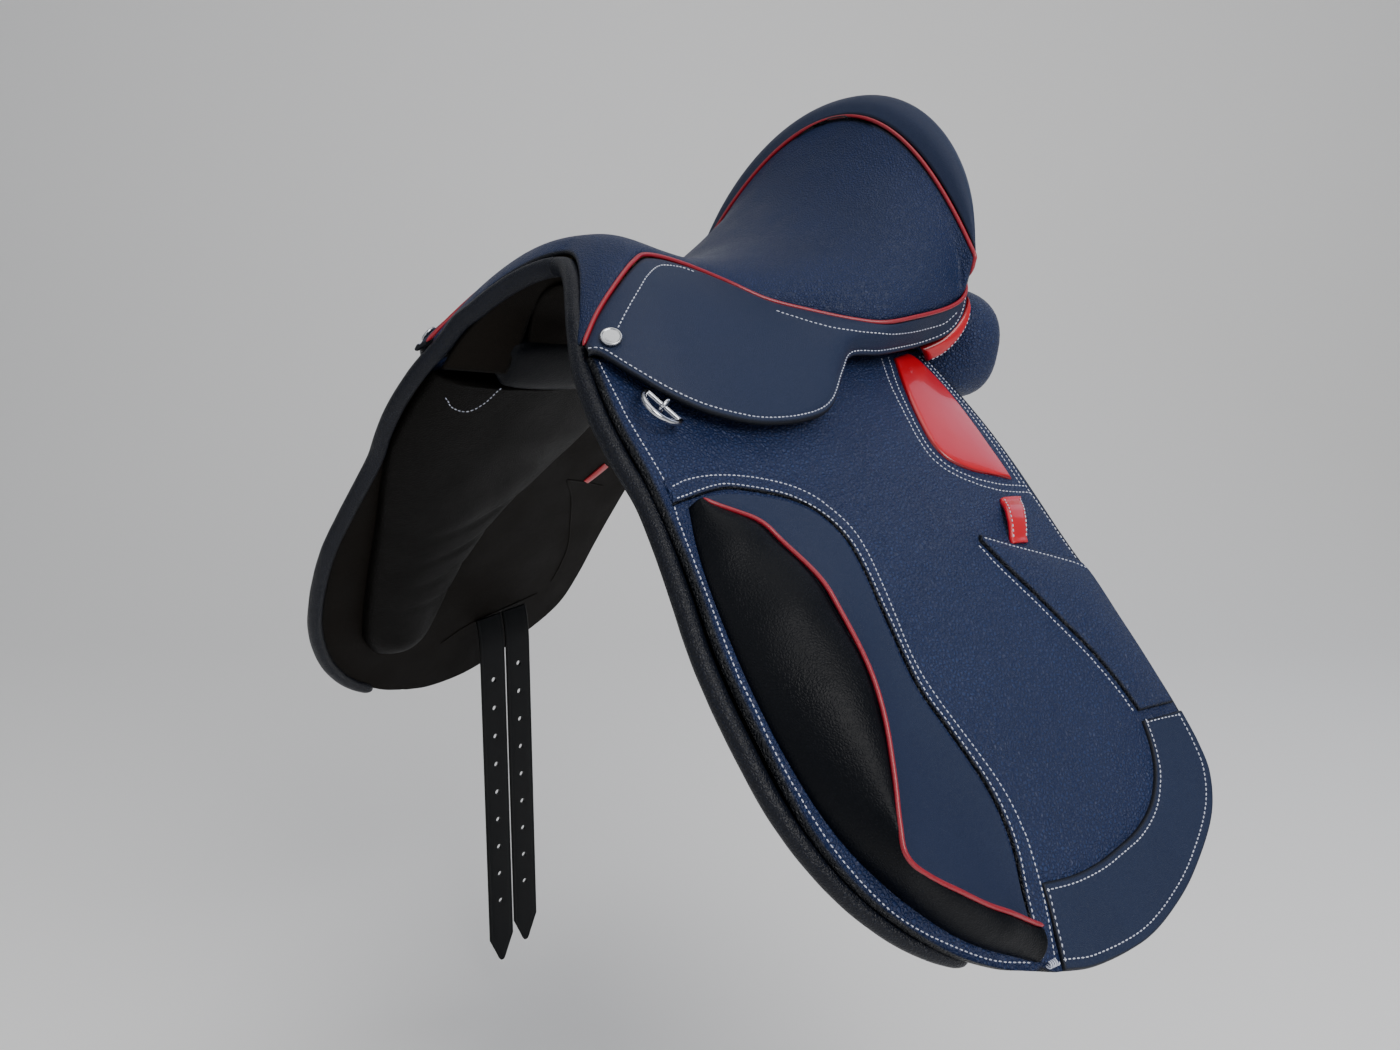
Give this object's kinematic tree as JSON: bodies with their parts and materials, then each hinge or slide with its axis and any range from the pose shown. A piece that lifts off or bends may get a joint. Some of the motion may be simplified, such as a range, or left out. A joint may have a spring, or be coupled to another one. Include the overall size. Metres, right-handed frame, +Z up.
{
  "type": "dressage saddle",
  "caption": "Dressage saddle with deep seat, high cantle, straight single flaps with knee blocks, red piping and long hanging billets.",
  "frame": {"origin": "the flat ceiling of the gullet channel, on the saddle's mirror plane and halfway between pommel and cantle, where it rests on a rack", "axes": "+Z up, -Y to the pommel, +Y to the cantle, +X to the saddle's left (near) side"},
  "size_m": [0.7202, 0.421, 0.8219],
  "materials": {
    "navy_leather": "smooth, satin",
    "grain_leather": "fine pebbled grain",
    "black_leather": "soft, satin",
    "red_leather": "satin piping",
    "red_patent": "patent gloss",
    "chrome": "polished",
    "forged_steel": "satin",
    "laminate": "laminated beech",
    "latex_foam": "open foam",
    "webbing": "woven"
  },
  "bodies": {
    "saddle": {"seat_cover": "navy_leather", "cantle_cover": "navy_leather", "seat_foam": "latex_foam", "tree": "laminate", "seat_webbing": "webbing", "gullet_plate": "forged_steel", "arch_roll": "black_leather", "gullet_lining": "black_leather", "cantle_piping": "red_leather", "panel_L": "black_leather", "panel_R": "black_leather", "panel_gusset_L": "red_patent", "panel_gusset_R": "red_patent", "seat_piping_L": "red_leather", "seat_piping_R": "red_leather", "badge_nail_L": "chrome", "badge_nail_R": "chrome", "stirrup_bar_L": "forged_steel", "stirrup_bar_R": "forged_steel", "skirt_top_L": "navy_leather", "skirt_top_R": "navy_leather"},
    "flap_L": {"flap_L": "grain_leather", "flap_lining_L": "black_leather", "billet_web_L": "webbing", "knee_block_L": "black_leather", "knee_wall_L": "navy_leather", "knee_piping_L": "red_leather", "knee_band_L": "navy_leather", "lower_band_L": "navy_leather", "flap_gusset_L": "navy_leather", "flap_inset_L": "red_patent", "billet_keeper_L": "red_patent", "front_roll_L": "black_leather", "panel_tongue_L": "black_leather", "ring_clip_L": "chrome"},
    "skirt_L": {"skirt_L": "navy_leather"},
    "d_ring_L": {"d_ring_L": "chrome"},
    "bar_catch_L": {"bar_catch_L": "forged_steel"},
    "billet_front_L": {"billet_front_L": "black_leather"},
    "billet_rear_L": {"billet_rear_L": "black_leather"},
    "flap_R": {"flap_R": "grain_leather", "flap_lining_R": "black_leather", "billet_web_R": "webbing", "knee_block_R": "black_leather", "knee_wall_R": "navy_leather", "knee_piping_R": "red_leather", "knee_band_R": "navy_leather", "lower_band_R": "navy_leather", "flap_gusset_R": "navy_leather", "flap_inset_R": "red_patent", "billet_keeper_R": "red_patent", "front_roll_R": "black_leather", "panel_tongue_R": "black_leather", "ring_clip_R": "chrome"},
    "skirt_R": {"skirt_R": "navy_leather"},
    "d_ring_R": {"d_ring_R": "chrome"},
    "bar_catch_R": {"bar_catch_R": "forged_steel"},
    "billet_front_R": {"billet_front_R": "black_leather"},
    "billet_rear_R": {"billet_rear_R": "black_leather"}
  },
  "joints": [
    {"name": "flap_bend_L", "type": "hinge", "parent": "saddle", "child": "flap_L", "pos_m": [0.07, 0, -0.022], "axis": [0, 1, 0], "range_deg": [0, 3], "stiffness_Nm_per_rad": 150},
    {"name": "skirt_lift_L", "type": "hinge", "parent": "saddle", "child": "skirt_L", "pos_m": [0.1195, -0.193, -0.026], "axis": [-0.0727, -0.9974, 0], "range_deg": [0, 60], "stiffness_Nm_per_rad": 0.3},
    {"name": "bar_catch_L", "type": "hinge", "parent": "saddle", "child": "bar_catch_L", "pos_m": [0.082, -0.033, -0.004], "axis": [0.65, 0, 0.76], "range_deg": [0, 45]},
    {"name": "d_ring_L", "type": "hinge", "parent": "flap_L", "child": "d_ring_L", "pos_m": [0.12857, -0.17828, -0.05525], "axis": [0.6159, 0.4441, -0.6507], "range_deg": [-45, 40]},
    {"name": "billet_front_L", "type": "hinge", "parent": "flap_L", "child": "billet_front_L", "pos_m": [0.302, 0, -0.286], "axis": [0, -1, 0], "range_deg": [0, 60]},
    {"name": "billet_rear_L", "type": "hinge", "parent": "flap_L", "child": "billet_rear_L", "pos_m": [0.302, 0, -0.286], "axis": [0, -1, 0], "range_deg": [0, 60]},
    {"name": "flap_bend_R", "type": "hinge", "parent": "saddle", "child": "flap_R", "pos_m": [-0.07, 0, -0.022], "axis": [0, -1, 0], "range_deg": [0, 3], "stiffness_Nm_per_rad": 150},
    {"name": "skirt_lift_R", "type": "hinge", "parent": "saddle", "child": "skirt_R", "pos_m": [-0.1195, -0.193, -0.026], "axis": [-0.0727, 0.9974, 0], "range_deg": [0, 60], "stiffness_Nm_per_rad": 0.3},
    {"name": "bar_catch_R", "type": "hinge", "parent": "saddle", "child": "bar_catch_R", "pos_m": [-0.082, -0.033, -0.004], "axis": [0.65, 0, -0.76], "range_deg": [0, 45]},
    {"name": "d_ring_R", "type": "hinge", "parent": "flap_R", "child": "d_ring_R", "pos_m": [-0.12857, -0.17828, -0.05525], "axis": [0.6159, -0.4441, 0.6507], "range_deg": [-45, 40]},
    {"name": "billet_front_R", "type": "hinge", "parent": "flap_R", "child": "billet_front_R", "pos_m": [-0.302, 0, -0.286], "axis": [0, -1, 0], "range_deg": [-18, 60]},
    {"name": "billet_rear_R", "type": "hinge", "parent": "flap_R", "child": "billet_rear_R", "pos_m": [-0.302, 0, -0.286], "axis": [0, -1, 0], "range_deg": [-18, 60]}
  ]
}
